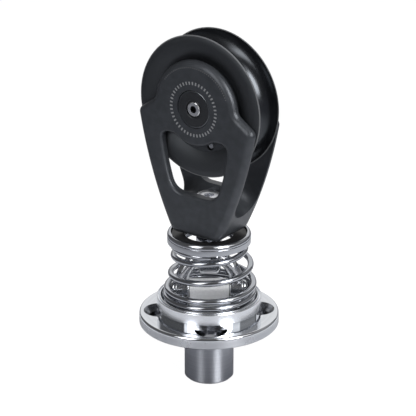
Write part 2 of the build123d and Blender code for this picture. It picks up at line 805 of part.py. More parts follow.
# Spring: conical, with close coils at both seats and two open turns between them
with BuildPart() as spring:
    coil_start = collar_seat + wire_radius
    coil_end = cup_bottom - wire_radius
    dead_pitch = 2 * wire_radius + dead_gap
    open_start = coil_start + dead_turns_low * dead_pitch
    open_end = coil_end - dead_turns_top * dead_pitch
    all_turns = dead_turns_low + active_turns + dead_turns_top
    steps = 12 * round(all_turns)
    coil_points = []
    for i in range(steps + 1):
        n = all_turns * i / steps
        share = min(max((n - dead_turns_low) / active_turns, 0.0), 1.0)
        z = open_start + share * (open_end - open_start)
        z += min(n - dead_turns_low, 0.0) * dead_pitch
        z += max(n - dead_turns_low - active_turns, 0.0) * dead_pitch
        r = coil_radius_low + share**1.5 * (coil_radius_top - coil_radius_low)
        a = 2 * pi * n + turn - pi / 2
        coil_points.append((r * cos(a), r * sin(a), z))
    with BuildLine() as coil_line:
        Spline(*coil_points)
    with BuildSketch(Plane(origin=coil_line.line @ 0, z_dir=coil_line.line % 0)):
        Circle(wire_radius)
    sweep(path=coil_line.line, is_frenet=False)
spring.part.label = "spring"
export_step(spring.part, "parts/spring.step")
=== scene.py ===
# %% [markdown]
# # A stand-up block
# A stand-up block is a sheave in a forked frame that a conical spring keeps upright on deck.
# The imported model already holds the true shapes. This file loads it, models the pieces that need
# finer edges or that bend, gives every piece its finish, and lights the block like a studio table.

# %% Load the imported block
import math

import bpy
from mathutils import Matrix, Vector


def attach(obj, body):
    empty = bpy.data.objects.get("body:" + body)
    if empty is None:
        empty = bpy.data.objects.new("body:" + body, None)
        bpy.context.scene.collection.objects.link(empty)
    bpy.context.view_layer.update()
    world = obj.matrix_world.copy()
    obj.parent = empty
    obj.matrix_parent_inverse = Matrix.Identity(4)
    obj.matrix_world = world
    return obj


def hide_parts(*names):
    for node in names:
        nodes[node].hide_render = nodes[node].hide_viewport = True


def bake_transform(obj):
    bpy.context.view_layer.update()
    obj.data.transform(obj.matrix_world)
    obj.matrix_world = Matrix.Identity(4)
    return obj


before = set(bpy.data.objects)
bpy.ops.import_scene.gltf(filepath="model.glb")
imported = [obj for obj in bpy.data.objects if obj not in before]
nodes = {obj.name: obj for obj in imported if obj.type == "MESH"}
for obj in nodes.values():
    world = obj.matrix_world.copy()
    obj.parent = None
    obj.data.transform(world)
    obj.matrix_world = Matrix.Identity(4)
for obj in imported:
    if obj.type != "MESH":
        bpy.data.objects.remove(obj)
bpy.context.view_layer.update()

MM = 0.001
BASE_TURN = math.radians(38)
FLANGE_TOP = 4.9
bpy.ops.object.select_all(action="DESELECT")

# %% [markdown]
# ## Camera
# A product picture is taken from far away with a long lens, so that upright lines stay upright.
# The camera is placed on a sphere round the block: a turn about the mast axis, a height above the
# horizon and a distance. Its shift is the small amount by which the block stands off the middle.

# %% Camera
PICTURE = 416
AZIMUTH, ELEVATION = math.radians(35.84), math.radians(21.87)
CAMERA_DISTANCE = 856 * MM
AIM = Vector((0, 0, 51.14 * MM))
FOCAL_LENGTH = 2056 / PICTURE
SENSOR = 36.0

back = Vector((
    math.sin(AZIMUTH) * math.cos(ELEVATION),
    -math.cos(AZIMUTH) * math.cos(ELEVATION),
    math.sin(ELEVATION),
))
right = Vector((math.cos(AZIMUTH), math.sin(AZIMUTH), 0))
up = back.cross(right)
bpy.ops.object.camera_add(location=AIM + back * CAMERA_DISTANCE)
camera = bpy.context.object
camera.name = "camera"
camera.rotation_euler = Matrix((right, up, back)).transposed().to_euler()
camera.data.sensor_width = SENSOR
camera.data.lens = SENSOR * FOCAL_LENGTH
camera.data.shift_x = -1.07 / PICTURE
bpy.context.scene.camera = camera
bpy.context.scene.view_settings.view_transform = "Standard"
print("lens:", round(camera.data.lens, 1), "mm")

# %% [markdown]
# ## Floor
# The table under the block is plain and pale. The camera sees it almost white. Polished steel sees
# its colour, with a painted shadow dark under the block, a painted pool of light where the lamps
# fall, and dark again further out. Two smooth falloffs with their own centres paint that, because
# the pool of the stronger lamp lies to one side. More light on a grey table would make it white too,
# but it would wash out the block, so the white is mostly the table's own glow.

# %% Helpers for materials


def new_material(name):
    """An empty node material and its output node."""
    material = bpy.data.materials.new(name)
    material.use_nodes = True
    tree = material.node_tree
    tree.nodes.clear()
    output = tree.nodes.new("ShaderNodeOutputMaterial")
    print("material:", name)
    return material, tree, output


def add_node(tree, kind, settings=None, **inputs):
    """A shader node with its settings and its input values or links."""
    node = tree.nodes.new(kind)
    for key, value in (settings or {}).items():
        setattr(node, key, value)
    for key, value in inputs.items():
        socket = node.inputs[int(key[1:])] if key[0] == "_" else node.inputs[key.replace("_", " ")]
        if isinstance(value, bpy.types.NodeSocket):
            tree.links.new(value, socket)
        else:
            socket.default_value = value
    return node


def math_node(tree, operation, *values):
    """A Math node and its result."""
    inputs = {f"_{i}": value for i, value in enumerate(values)}
    return add_node(tree, "ShaderNodeMath", {"operation": operation}, **inputs).outputs[0]


# %% Floor
FLOOR_HEIGHT = -25.75 * MM
SEEN_GLOW, MIRRORED_GLOW, GLOW = 0.85, 0.04, 1.17
bpy.ops.mesh.primitive_circle_add(
    vertices=96, radius=6, fill_type="NGON", location=(0, 0, FLOOR_HEIGHT),
)
floor = bpy.context.object
floor.name = "floor"
material, tree, output = new_material("pale_floor")
seen = add_node(tree, "ShaderNodeLightPath")
mirrored = math_node(
    tree, "MAXIMUM", seen.outputs["Is Glossy Ray"], seen.outputs["Is Transmission Ray"],
)
to_camera = math_node(tree, "MULTIPLY", seen.outputs["Is Camera Ray"], SEEN_GLOW)
to_mirror = math_node(tree, "MULTIPLY", mirrored, MIRRORED_GLOW)
shown = math_node(tree, "MAXIMUM", to_camera, to_mirror)
place = add_node(tree, "ShaderNodeTexCoord").outputs["Object"]


def floor_falloff(tree, place, sideways, near, far, near_value, far_value):
    """A value that changes smoothly between two distances in mm from a spot beside the mast."""
    moved = add_node(
        tree, "ShaderNodeVectorMath", {"operation": "SUBTRACT"}, _0=place, _1=right * sideways * MM,
    ).outputs[0]
    distance = add_node(tree, "ShaderNodeVectorMath", {"operation": "LENGTH"}, _0=moved).outputs[1]
    return add_node(
        tree, "ShaderNodeMapRange", {"interpolation_type": "SMOOTHSTEP"}, Value=distance,
        From_Min=near * MM, From_Max=far * MM, To_Min=near_value, To_Max=far_value,
    ).outputs[0]


# Painted shadow near the mast and a painted pool of light round it, in the floor's own colour.
painted_shadow = floor_falloff(tree, place, -12, 38, 76, 0.0, 1.0)
painted_pool_fade = floor_falloff(tree, place, 36, 100, 320, 1.0, 0.0)
in_painted_pool = math_node(tree, "MULTIPLY", painted_shadow, painted_pool_fade)
painted_pool = add_node(tree, "ShaderNodeMix", {"data_type": "RGBA"}, _0=in_painted_pool)
painted_pool.inputs[6].default_value = (0.11, 0.115, 0.135, 1)
painted_pool.inputs[7].default_value = (0.80, 0.81, 0.84, 1)
lit = add_node(tree, "ShaderNodeBsdfDiffuse", Color=painted_pool.outputs[2])
glow = add_node(tree, "ShaderNodeEmission", Color=(1, 1, 1, 1), Strength=GLOW)
mix = add_node(tree, "ShaderNodeMixShader", _0=shown, _1=lit.outputs[0], _2=glow.outputs[0])
tree.links.new(mix.outputs[0], output.inputs["Surface"])
floor.data.materials.append(material)
print("floor at", round(FLOOR_HEIGHT / MM, 2), "mm")

# %% [markdown]
# ## Light
# Polished steel shows the room it stands in. Two white softboxes stand left and right of the camera
# with a dark gap between them, and the room behind them is grey. That gives each ring its bright
# bands with a dark line between. Real walls and panels could stand round the block, but they would
# block the view from behind, so the room is drawn in the world by direction alone.

# %% Directions of the room
world = bpy.data.worlds.new("studio")
bpy.context.scene.world = world
world.use_nodes = True
tree = world.node_tree
tree.nodes.clear()
output = tree.nodes.new("ShaderNodeOutputWorld")
direction = add_node(tree, "ShaderNodeTexCoord").outputs["Generated"]
turned_room = add_node(
    tree, "ShaderNodeMapping", {"vector_type": "POINT"}, Vector=direction,
    Rotation=(0, 0, -AZIMUTH),
).outputs[0]
axes = add_node(tree, "ShaderNodeSeparateXYZ", Vector=turned_room)
front = math_node(tree, "MULTIPLY", axes.outputs[1], -1.0)
side = math_node(tree, "ARCTAN2", axes.outputs[0], front)
height = math_node(tree, "ARCSINE", axes.outputs[2])
print("room turned by", round(math.degrees(AZIMUTH), 1), "degrees")


def soft_band(tree, value, low, high, edge):
    """1 between low and high degrees, falling to 0 over edge degrees outside them."""
    rise = add_node(
        tree, "ShaderNodeMapRange", {"interpolation_type": "SMOOTHSTEP"}, Value=value,
        From_Min=math.radians(low - edge), From_Max=math.radians(low),
    ).outputs[0]
    fall = add_node(
        tree, "ShaderNodeMapRange", {"interpolation_type": "SMOOTHSTEP"}, Value=value,
        From_Min=math.radians(high), From_Max=math.radians(high + edge), To_Min=1.0, To_Max=0.0,
    ).outputs[0]
    return math_node(tree, "MULTIPLY", rise, fall)


# %% Softboxes


def softbox(tree, left, right, low, high, strength, edge=4):
    """The glow of a softbox between two turns from the camera and two heights, in degrees."""
    across = soft_band(tree, side, left, right, edge)
    along = soft_band(tree, height, low, high, edge)
    return math_node(tree, "MULTIPLY", math_node(tree, "MULTIPLY", across, along), strength)


SOFTBOXES = [
    # left, right, low, high, strength
    (-180, 180, -90, 90, 0.06),  # the dim room
    (-56, -24, 19, 64, 1.5),  # left softbox
    (-47, -31, 12, 50, 2.8),  # its bright middle
    (18, 72, 19, 60, 1.1),  # right softbox
    (28, 52, 10, 46, 8.0),  # its bright middle
    (-180, 180, 70, 90, 0.22),  # ceiling
    (74, 128, 8, 40, 0.22),  # wall on the right
    (138, 180, -10, 12, 0.35),  # low wall behind, in two parts
    (-180, -146, -10, 12, 0.35),
    (138, 180, 16, 50, 0.85),  # pale wall behind, in two parts
    (-180, -146, 16, 50, 0.85),
]
room = 0.0
for box in SOFTBOXES:
    room = math_node(tree, "ADD", room, softbox(tree, *box))
seen = add_node(tree, "ShaderNodeLightPath")
studio = add_node(tree, "ShaderNodeBackground", Color=(1, 1, 1, 1), Strength=room)
backdrop = add_node(tree, "ShaderNodeBackground", Color=(1, 1, 1, 1), Strength=1.0)
in_mirrors = math_node(tree, "MULTIPLY", seen.outputs["Is Glossy Ray"], 0.05)
seen_plain = math_node(
    tree, "MAXIMUM", seen.outputs["Is Camera Ray"], seen.outputs["Is Transmission Ray"],
)
share = math_node(tree, "MAXIMUM", seen_plain, in_mirrors)
mix = add_node(tree, "ShaderNodeMixShader", _0=share, _1=studio.outputs[0], _2=backdrop.outputs[0])
tree.links.new(mix.outputs[0], output.inputs["Surface"])
print("parts of the room:", len(SOFTBOXES))

# %% [markdown]
# ## Lamps
# The drawn softboxes show in the steel and light the block from all round. Two area lamps in the
# same directions add the direct light of the real lamps. They are hidden from reflections, because
# a lamp's hard square would lie over the soft edge that is drawn.

# %% Lamps


def area_light(name, turn, rise, distance, size, power):
    """A square lamp that faces the block, placed by its turn from the camera and its height."""
    a, e = AZIMUTH + math.radians(turn), math.radians(rise)
    away = Vector((math.sin(a) * math.cos(e), -math.cos(a) * math.cos(e), math.sin(e)))
    bpy.ops.object.light_add(type="AREA", location=AIM + away * distance)
    lamp = bpy.context.object
    lamp.name = name
    lamp.data.size = size
    lamp.data.energy = power
    lamp.rotation_euler = away.to_track_quat("Z", "Y").to_euler()
    lamp.visible_glossy = False
    print(name, power, "W")
    return lamp


area_light("softbox_left", -42, 28, 0.9, 0.4, 0.5)
area_light("softbox_right", 43, 25, 0.9, 0.4, 0.8)

# %% [markdown]
# ## Shared effects
# Three effects turn up on most of the finishes, so each is a node group. Fine grain is the tooth
# that blasting and anodising leave. Turning marks are the rings that a lathe leaves about the axis
# of a piece. Haze is the faint uneven bloom of handled metal.

# %% Node groups


def new_group(name, inputs, outputs):
    """A shader node group with float or vector inputs and float outputs."""
    group = bpy.data.node_groups.new(name, "ShaderNodeTree")
    for label, value in inputs.items():
        kind = "NodeSocketVector" if value is None else "NodeSocketFloat"
        socket = group.interface.new_socket(label, in_out="INPUT", socket_type=kind)
        if value is not None:
            socket.default_value = value
    for label in outputs:
        group.interface.new_socket(label, in_out="OUTPUT", socket_type="NodeSocketFloat")
    entry = group.nodes.new("NodeGroupInput")
    leave = group.nodes.new("NodeGroupOutput")
    print("node group:", name)
    return group, entry, leave


# %% Fine grain
grain_group, entry, leave = new_group(
    "fine_grain", {"Vector": None, "Scale": 3000.0}, ["Height", "Shade"],
)
fine = add_node(
    grain_group, "ShaderNodeTexNoise", Vector=entry.outputs["Vector"],
    Scale=entry.outputs["Scale"], Detail=3.0, Roughness=0.6,
)
grain_group.links.new(fine.outputs[0], leave.inputs["Height"])
coarse_scale = math_node(grain_group, "MULTIPLY", entry.outputs["Scale"], 0.06)
coarse = add_node(
    grain_group, "ShaderNodeTexNoise", Vector=entry.outputs["Vector"], Scale=coarse_scale,
    Detail=4.0,
)
grain_group.links.new(coarse.outputs[0], leave.inputs["Shade"])

# %% Turning marks
turning_group, entry, leave = new_group(
    "turning_marks", {"Vector": None, "Pitch": 4000.0}, ["Height", "Shade"],
)
axes = add_node(turning_group, "ShaderNodeSeparateXYZ", Vector=entry.outputs["Vector"])
squares = math_node(
    turning_group, "ADD", math_node(turning_group, "POWER", axes.outputs[0], 2.0),
    math_node(turning_group, "POWER", axes.outputs[1], 2.0),
)
radius = math_node(turning_group, "SQRT", squares)
ring_place = add_node(turning_group, "ShaderNodeCombineXYZ", X=radius, Y=axes.outputs[2]).outputs[0]
rings = add_node(
    turning_group, "ShaderNodeTexNoise", {"noise_dimensions": "2D"}, Vector=ring_place,
    Scale=entry.outputs["Pitch"], Detail=2.0,
)
turning_group.links.new(rings.outputs[0], leave.inputs["Height"])
wide_pitch = math_node(turning_group, "MULTIPLY", entry.outputs["Pitch"], 0.15)
wide_rings = add_node(
    turning_group, "ShaderNodeTexNoise", {"noise_dimensions": "2D"}, Vector=ring_place,
    Scale=wide_pitch, Detail=2.0,
)
turning_group.links.new(wide_rings.outputs[0], leave.inputs["Shade"])

# %% Haze
haze_group, entry, leave = new_group(
    "haze", {"Vector": None, "Clean": 0.1, "Dull": 0.2}, ["Roughness"],
)
cloud = add_node(
    haze_group, "ShaderNodeTexNoise", Vector=entry.outputs["Vector"], Scale=120.0, Detail=5.0,
    Roughness=0.65,
)
haze_level = add_node(
    haze_group, "ShaderNodeMapRange", Value=cloud.outputs[0], From_Min=0.35, From_Max=0.75,
    To_Min=entry.outputs["Clean"], To_Max=entry.outputs["Dull"],
)
haze_group.links.new(haze_level.outputs[0], leave.inputs["Roughness"])

# %% [markdown]
# ## Finishes
# The frame is aluminium, blasted and anodised a charcoal black, so it is satin with a fine tooth.
# The sheave is anodised too, but turned and not blasted, so it is darker and glossier. The steel is
# mirror polished where the hand meets it and satin where it goes into the deck.
# A few helpers come first: where a pattern lies on a piece, and a colour between two shades.

# %% Helpers for finishes


def place_on(tree, centre=(0, 0, 0), turn=(0, 0, 0)):
    """Object coordinates moved so that centre is the origin, then turned."""
    coordinates = add_node(tree, "ShaderNodeTexCoord").outputs["Object"]
    moved = add_node(
        tree, "ShaderNodeVectorMath", {"operation": "SUBTRACT"}, _0=coordinates, _1=centre,
    ).outputs[0]
    return add_node(
        tree, "ShaderNodeMapping", {"vector_type": "POINT"}, Vector=moved, Rotation=turn,
    ).outputs[0]


def shade_between(tree, value, dark, light):
    """A colour between dark and light, chosen by value."""
    ramp = add_node(tree, "ShaderNodeMix", {"data_type": "RGBA"}, _0=value)
    ramp.inputs[6].default_value = (*dark, 1)
    ramp.inputs[7].default_value = (*light, 1)
    return ramp.outputs[2]


def stretch(tree, value, low, high):
    """value mapped from low..high to 0..1, held at the ends."""
    return add_node(
        tree, "ShaderNodeMapRange", Value=value, From_Min=low, From_Max=high,
    ).outputs[0]


def use_group(tree, group, **inputs):
    """A node of the group with its inputs set."""
    node = tree.nodes.new("ShaderNodeGroup")
    node.node_tree = group
    for key, value in inputs.items():
        if isinstance(value, bpy.types.NodeSocket):
            tree.links.new(value, node.inputs[key])
        else:
            node.inputs[key].default_value = value
    return node


# %% [markdown]
# ## Ticks and edges
# A ring of fine pale ticks is marked round the axle cap, as on a plain gauge, with a fainter arc of
# finer ticks above it. They have no depth, so they are painted and not modelled: a mask is 1
# between two radii, on the flat outer side of a cheek, and repeats with the angle about the axle.
# Two more masks belong to the sheave. One finds its sides, which are duller than the groove. The
# other finds the thin lip beside the groove, where a pale line is painted as the highlight of its
# edge.

# %% Ticks and edges
AXLE_CENTRE = (0, 0, 97.5 * MM)
ABOUT_AXLE = (math.radians(90), 0, 0)
CHEEK_SIDE = 10.95 * MM
GROOVE_CENTRE, GROOVE = 28.4 * MM, 6.6 * MM


def axle_radius(tree, vector):
    """The distance from an axis, and the distance from the middle plane across it."""
    flat = add_node(
        tree, "ShaderNodeVectorMath", {"operation": "MULTIPLY"}, _0=vector, _1=(1, 1, 0),
    ).outputs[0]
    radius = add_node(tree, "ShaderNodeVectorMath", {"operation": "LENGTH"}, _0=flat).outputs[1]
    axes = add_node(tree, "ShaderNodeSeparateXYZ", Vector=vector)
    return radius, math_node(tree, "ABSOLUTE", axes.outputs[2])


def tick_ring(tree, vector, inner, outer, count, share, first, last):
    """1 on fine marks on the cheeks' outer sides, between two radii in mm and two angles."""
    radius, side_place = axle_radius(tree, vector)
    axes = add_node(tree, "ShaderNodeSeparateXYZ", Vector=vector)
    upward = math_node(tree, "MULTIPLY", axes.outputs[1], -1.0)
    angle = math_node(tree, "ARCTAN2", upward, axes.outputs[0])
    turns = math_node(tree, "MULTIPLY", angle, count / (2 * math.pi))
    mask = math_node(tree, "LESS_THAN", math_node(tree, "FRACT", turns), share)
    for value, kind, limit in (
        (radius, "GREATER_THAN", inner * MM), (radius, "LESS_THAN", outer * MM),
        (angle, "GREATER_THAN", math.radians(first)), (angle, "LESS_THAN", math.radians(last)),
        (side_place, "GREATER_THAN", CHEEK_SIDE),
    ):
        mask = math_node(tree, "MULTIPLY", mask, math_node(tree, kind, value, limit))
    return mask


def outside_groove(tree, vector):
    """1 on the wheel's faces outside the circle that its groove is cut to, else 0."""
    radius, side_place = axle_radius(tree, vector)
    from_centre = math_node(tree, "SUBTRACT", radius, GROOVE_CENTRE)
    squares = math_node(
        tree, "ADD", math_node(tree, "POWER", from_centre, 2.0),
        math_node(tree, "POWER", side_place, 2.0),
    )
    distance = math_node(tree, "SQRT", squares)
    return math_node(tree, "GREATER_THAN", distance, GROOVE + 0.02 * MM)


def lip_highlight_mask(tree, vector, inner, across):
    """1 on a wheel's outermost edge, where a highlight is painted: past a radius and a distance from
    its middle plane in mm.
    """
    radius, side_place = axle_radius(tree, vector)
    beyond_radius = math_node(tree, "GREATER_THAN", radius, inner * MM)
    beyond_side = math_node(tree, "GREATER_THAN", side_place, across * MM)
    return math_node(tree, "MULTIPLY", beyond_radius, beyond_side)


def ink_and_highlight(tree, colour, mask, level):
    """The colour, with a pale grey of the given level where the mask is 1: printed ticks, and a
    painted highlight on a wheel's lip.
    """
    ink_and_highlight_mix = add_node(tree, "ShaderNodeMix", {"data_type": "RGBA"}, _0=mask, _6=colour)
    ink_and_highlight_mix.inputs[7].default_value = (level, level * 1.02, level * 1.05, 1)
    return ink_and_highlight_mix.outputs[2]


# %% [markdown]
# ## Anodised aluminium
# One function makes every black metal finish, because they differ only in their values: how fine
# the grain is, whether a lathe left rings, how rough the coat is, and which marks it carries.

# %% Anodised aluminium


def anodised(name, dark, light, clean, dull, grain, bump, turned=False, metallic=0.35,
             marks=(), ior=1.5, flank=0.0, lip_highlight=None):
    """Anodised aluminium: blasted, or with the rings of the lathe about the axle.

    flank is the roughness added on a wheel's outer sides. The last argument gives the radius, the
    distance from the middle plane and the level of a painted highlight, a bright line on a wheel's
    edge.
    """
    material, tree, output = new_material(name)
    vector = place_on(tree, AXLE_CENTRE, ABOUT_AXLE)
    fine = use_group(tree, grain_group, Vector=vector, Scale=grain)
    height, shade = fine.outputs["Height"], fine.outputs["Shade"]
    if turned:
        rings = use_group(tree, turning_group, Vector=vector, Pitch=grain)
        height = math_node(tree, "ADD", height, rings.outputs["Height"])
        both = math_node(tree, "ADD", shade, rings.outputs["Shade"])
        shade = math_node(tree, "MULTIPLY", both, 0.5)
    colour = shade_between(tree, stretch(tree, shade, 0.35, 0.65), dark, light)
    for *ring, level in marks:
        colour = ink_and_highlight(tree, colour, tick_ring(tree, vector, *ring), level)
    # A painted highlight: a pale line along the wheel's lip, where its edge would catch the light.
    if lip_highlight:
        colour = ink_and_highlight(tree, colour, lip_highlight_mask(tree, vector, *lip_highlight[:2]), lip_highlight[2])
    rough = use_group(tree, haze_group, Vector=vector, Clean=clean, Dull=dull).outputs[0]
    if flank:
        duller = math_node(tree, "MULTIPLY", outside_groove(tree, vector), flank)
        rough = math_node(tree, "ADD", rough, duller)
    normal = add_node(
        tree, "ShaderNodeBump", Height=height, Distance=bump * MM, Strength=1.0,
    ).outputs[0]
    shader = add_node(
        tree, "ShaderNodeBsdfPrincipled", Base_Color=colour, Metallic=metallic, Roughness=rough,
        Normal=normal, IOR=ior,
    )
    if not metallic:
        shader.inputs["Specular Tint"].default_value = (0.86, 0.92, 1.0, 1)
    tree.links.new(shader.outputs[0], output.inputs["Surface"])
    return material


# %% Black finishes
CHEEK_MARKS = [
    # inner and outer radius, marks in a full turn, share marked, first and last degree, level
    (10.4, 11.7, 44, 0.40, -180, 180, 0.36),
    (17.3, 18.0, 108, 0.40, 22, 146, 0.16),
]
frame_black = anodised(
    "frame_black", (0.049, 0.0535, 0.061), (0.060, 0.065, 0.074), 0.34, 0.42, 5000.0, 0.003,
    metallic=0.45, marks=CHEEK_MARKS,
)
# The sheave's lip gets a painted highlight line.
sheave_black = anodised(
    "sheave_black", (0.0045, 0.0048, 0.0058), (0.0070, 0.0074, 0.0088), 0.21, 0.25, 3500.0,
    0.0006, turned=True, metallic=0.0, ior=1.75, flank=0.28, lip_highlight=(29.5, 6.45, 0.12),
)
cap_black = anodised(
    "cap_black", (0.022, 0.0235, 0.027), (0.030, 0.032, 0.036), 0.34, 0.42, 3500.0, 0.002,
    turned=True,
)
print("rings of ticks:", len(CHEEK_MARKS))

# %% [markdown]
# ## Black plastics
# The liner in the upper cup looks like moulded black plastic, and the hidden bearings of the wheel
# and the swivel are taken to be plastic too. It is duller than the frame and was never on a lathe,
# so it has a function of its own, with rougher values and no rings.

# %% Black plastics


def plastic(name, dark, light, clean, dull):
    """Moulded plastic with a faint grain."""
    material, tree, output = new_material(name)
    vector = place_on(tree)
    fine = use_group(tree, grain_group, Vector=vector, Scale=2500.0)
    colour = shade_between(tree, stretch(tree, fine.outputs["Shade"], 0.35, 0.65), dark, light)
    rough = use_group(tree, haze_group, Vector=vector, Clean=clean, Dull=dull).outputs[0]
    normal = add_node(
        tree, "ShaderNodeBump", Height=fine.outputs["Height"], Distance=0.006 * MM, Strength=1.0,
    ).outputs[0]
    shader = add_node(
        tree, "ShaderNodeBsdfPrincipled", Base_Color=colour, Roughness=rough, Normal=normal,
    )
    tree.links.new(shader.outputs[0], output.inputs["Surface"])
    return material


liner_plastic = plastic("liner_plastic", (0.009, 0.009, 0.010), (0.015, 0.015, 0.016), 0.42, 0.55)
bearing_plastic = plastic("bearing_plastic", (0.05, 0.05, 0.052), (0.07, 0.07, 0.072), 0.45, 0.55)

# %% [markdown]
# ## Steel
# Turned steel keeps fine rings about its own axis, and they draw each highlight out across them.
# The anisotropic shader does that along a tangent: round the mast for the turned pieces, and along
# the pin for the bow, whose legs show upright stripes.

# %% Stainless steel


def steel(name, dark, light, clean, dull, pitch, bump, centre=(0, 0, 0), turn=(0, 0, 0), drawn=0.0,
          metallic=1.0, socket=0.0, across=None):
    """Stainless steel with lathe rings about an axis, a faint haze and drawn out highlights.

    Within the radius socket, in mm, it is painted dark, as shade in the socket of a screw.
    """
    material, tree, output = new_material(name)
    vector = place_on(tree, centre, turn)
    rings = use_group(tree, turning_group, Vector=vector, Pitch=pitch)
    colour = shade_between(tree, stretch(tree, rings.outputs["Shade"], 0.35, 0.65), dark, light)
    # Painted shade: inside the screw's socket the colour goes nearly black.
    if socket:
        inside = math_node(tree, "LESS_THAN", axle_radius(tree, vector)[0], socket * MM)
        colour = shade_between(tree, inside, light, (0.03, 0.03, 0.032))
    rough = use_group(tree, haze_group, Vector=vector, Clean=clean, Dull=dull).outputs[0]
    normal = add_node(
        tree, "ShaderNodeBump", Height=rings.outputs["Height"], Distance=bump * MM, Strength=1.0,
    ).outputs[0]
    shader = add_node(
        tree, "ShaderNodeBsdfPrincipled", Base_Color=colour, Metallic=metallic, Roughness=rough,
        Normal=normal,
    )
    if drawn:
        if across:
            around = add_node(
                tree, "ShaderNodeCombineXYZ", _0=across[0], _1=across[1], _2=across[2],
            )
        else:
            around = add_node(tree, "ShaderNodeTangent", {"direction_type": "RADIAL", "axis": "Z"})
        tree.links.new(around.outputs[0], shader.inputs["Tangent"])
        shader.inputs["Anisotropic"].default_value = drawn
        shader.inputs["Anisotropic Rotation"].default_value = 0.25
    tree.links.new(shader.outputs[0], output.inputs["Surface"])
    return material


# %% Polished and turned steel
mirror_steel = steel(
    "mirror_steel", (0.57, 0.58, 0.605), (0.63, 0.64, 0.665), 0.05, 0.09, 2500.0, 0.0003,
)
turned_steel = steel(
    "turned_steel", (0.48, 0.495, 0.53), (0.54, 0.555, 0.59), 0.09, 0.14, 2500.0, 0.0003, drawn=0.6,
)
collar_steel = steel(
    "collar_steel", (0.84, 0.86, 0.90), (0.90, 0.92, 0.96), 0.22, 0.28, 2500.0, 0.0003, drawn=0.7,
)
flange_steel = steel(
    "flange_steel", (0.67, 0.69, 0.725), (0.73, 0.75, 0.785), 0.04, 0.07, 2500.0, 0.0001,
)
rim_steel = steel(
    "rim_steel", (0.56, 0.575, 0.61), (0.62, 0.635, 0.67), 0.26, 0.32, 2500.0, 0.0004, drawn=0.8,
)
# Painted shade for the insides of the countersunk holes: a darker copy of the flange steel.
hole_shade_steel = steel(
    "hole_shade_steel", (0.28, 0.285, 0.30), (0.34, 0.345, 0.36), 0.16, 0.22, 2500.0, 0.0004,
)
satin_steel = steel(
    "satin_steel", (0.58, 0.60, 0.65), (0.63, 0.65, 0.70), 0.34, 0.38, 9000.0, 0.0001, drawn=0.9,
)

# %% Steel of the bow, the spring and the screws
# The screws get a painted shade in their sockets.
screw_steel = steel(
    "screw_steel", (0.84, 0.845, 0.86), (0.90, 0.905, 0.92), 0.24, 0.30, 2500.0, 0.0004,
    AXLE_CENTRE, ABOUT_AXLE, socket=1.5,
)
bow_steel = steel(
    "bow_steel", (0.66, 0.67, 0.695), (0.72, 0.73, 0.755), 0.16, 0.20, 2500.0, 0.0001, drawn=0.9,
    across=(math.cos(BASE_TURN), math.sin(BASE_TURN), 0.0),
)
lug_steel = steel(
    "lug_steel", (0.78, 0.79, 0.81), (0.84, 0.85, 0.87), 0.34, 0.42, 9000.0, 0.0003, metallic=0.5,
)
plug_steel = steel(
    "plug_steel", (0.56, 0.565, 0.58), (0.62, 0.625, 0.64), 0.14, 0.18, 2500.0, 0.0003,
)
bolt_steel = steel(
    "bolt_steel", (0.62, 0.63, 0.66), (0.70, 0.71, 0.74), 0.26, 0.32, 3500.0, 0.0003,
)
spring_steel = steel(
    "spring_steel", (0.43, 0.445, 0.48), (0.49, 0.505, 0.54), 0.08, 0.13, 2500.0, 0.0003,
)
bright_steel = steel(
    "bright_steel", (0.55, 0.555, 0.57), (0.64, 0.645, 0.66), 0.16, 0.24, 3500.0, 0.0006,
    AXLE_CENTRE, ABOUT_AXLE,
)

# %% [markdown]
# ## A finish for each node
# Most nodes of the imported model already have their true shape, so they are not modelled again. Each
# gets its finish from this table, because one table is easier to change than a line per piece. The
# nodes that are replaced further down are in it too, so that none is left without a finish.

# %% Finish of each node
FINISHES = {
    "frame": frame_black,
    "sheave": sheave_black,
    "axle_cap_near": cap_black,
    "axle_cap_far": cap_black,
    "cup_liner": liner_plastic,
    "bearing_sleeve": bearing_plastic,
    "side_ring_near": bearing_plastic,
    "side_ring_far": bearing_plastic,
    "swivel_bush": bearing_plastic,
    "thrust_ring": bearing_plastic,
    "race_plug": plug_steel,
    "axle": bright_steel,
    "axle_screw_near": screw_steel,
    "axle_screw_far": screw_steel,
    "swivel_bolt": bolt_steel,
    "swivel_washer": bolt_steel,
    "swivel_eye": mirror_steel,
    "bow": bow_steel,
    "bow_pin": mirror_steel,
    "pin_nut": mirror_steel,
    "lug": lug_steel,
    "collar": collar_steel,
    "upper_cup": turned_steel,
    "flange": flange_steel,
    "shank": satin_steel,
    "spring": spring_steel,
}
for name, material in FINISHES.items():
    mesh = nodes[name].data
    mesh.materials.clear()
    mesh.materials.append(material)
print("finished nodes:", len(FINISHES))

# %% [markdown]
# ## Spring
# The spring is a round wire wound on a cone: close coils in both seats and two open turns between
# them. It has to bend with the two tilts of the head, and a mesh can bend across one joint only, so
# the wire is cut in two: a lower length from the base to the bow and an upper one from the bow to
# the eye. Each length is a curve with a round bevel, made a mesh. A Screw modifier would wind
# evenly, and this spring is not even, so a table gives the height and radius after so many turns.

# %% Winding
WIRE = 1.3 * MM
STEPS_PER_TURN = 72
ALL_TURNS = 6.0
SPLIT_TURN = 4.15
WINDING = [
    # turns from the lower end, height, radius and sideways sag of the middle of the wire in mm
    (0.0, 7.55, 18.6, 0.0),
    (1.0, 10.4, 18.6, 0.0),
    (2.0, 13.3, 18.6, 0.2),
    (2.7, 15.4, 18.3, 0.5),
    (3.0, 16.3, 18.2, 0.7),
    (3.25, 17.6, 18.0, 0.8),
    (3.75, 22.0, 17.0, 0.9),
    (4.25, 26.2, 16.7, 0.8),
    (4.75, 30.2, 15.4, 0.5),
    (5.0, 32.1, 15.2, 0.3),
    (5.25, 33.7, 15.1, 0.1),
    (5.5, 34.7, 15.0, 0.0),
    (6.0, 35.0, 15.0, 0.0),
]


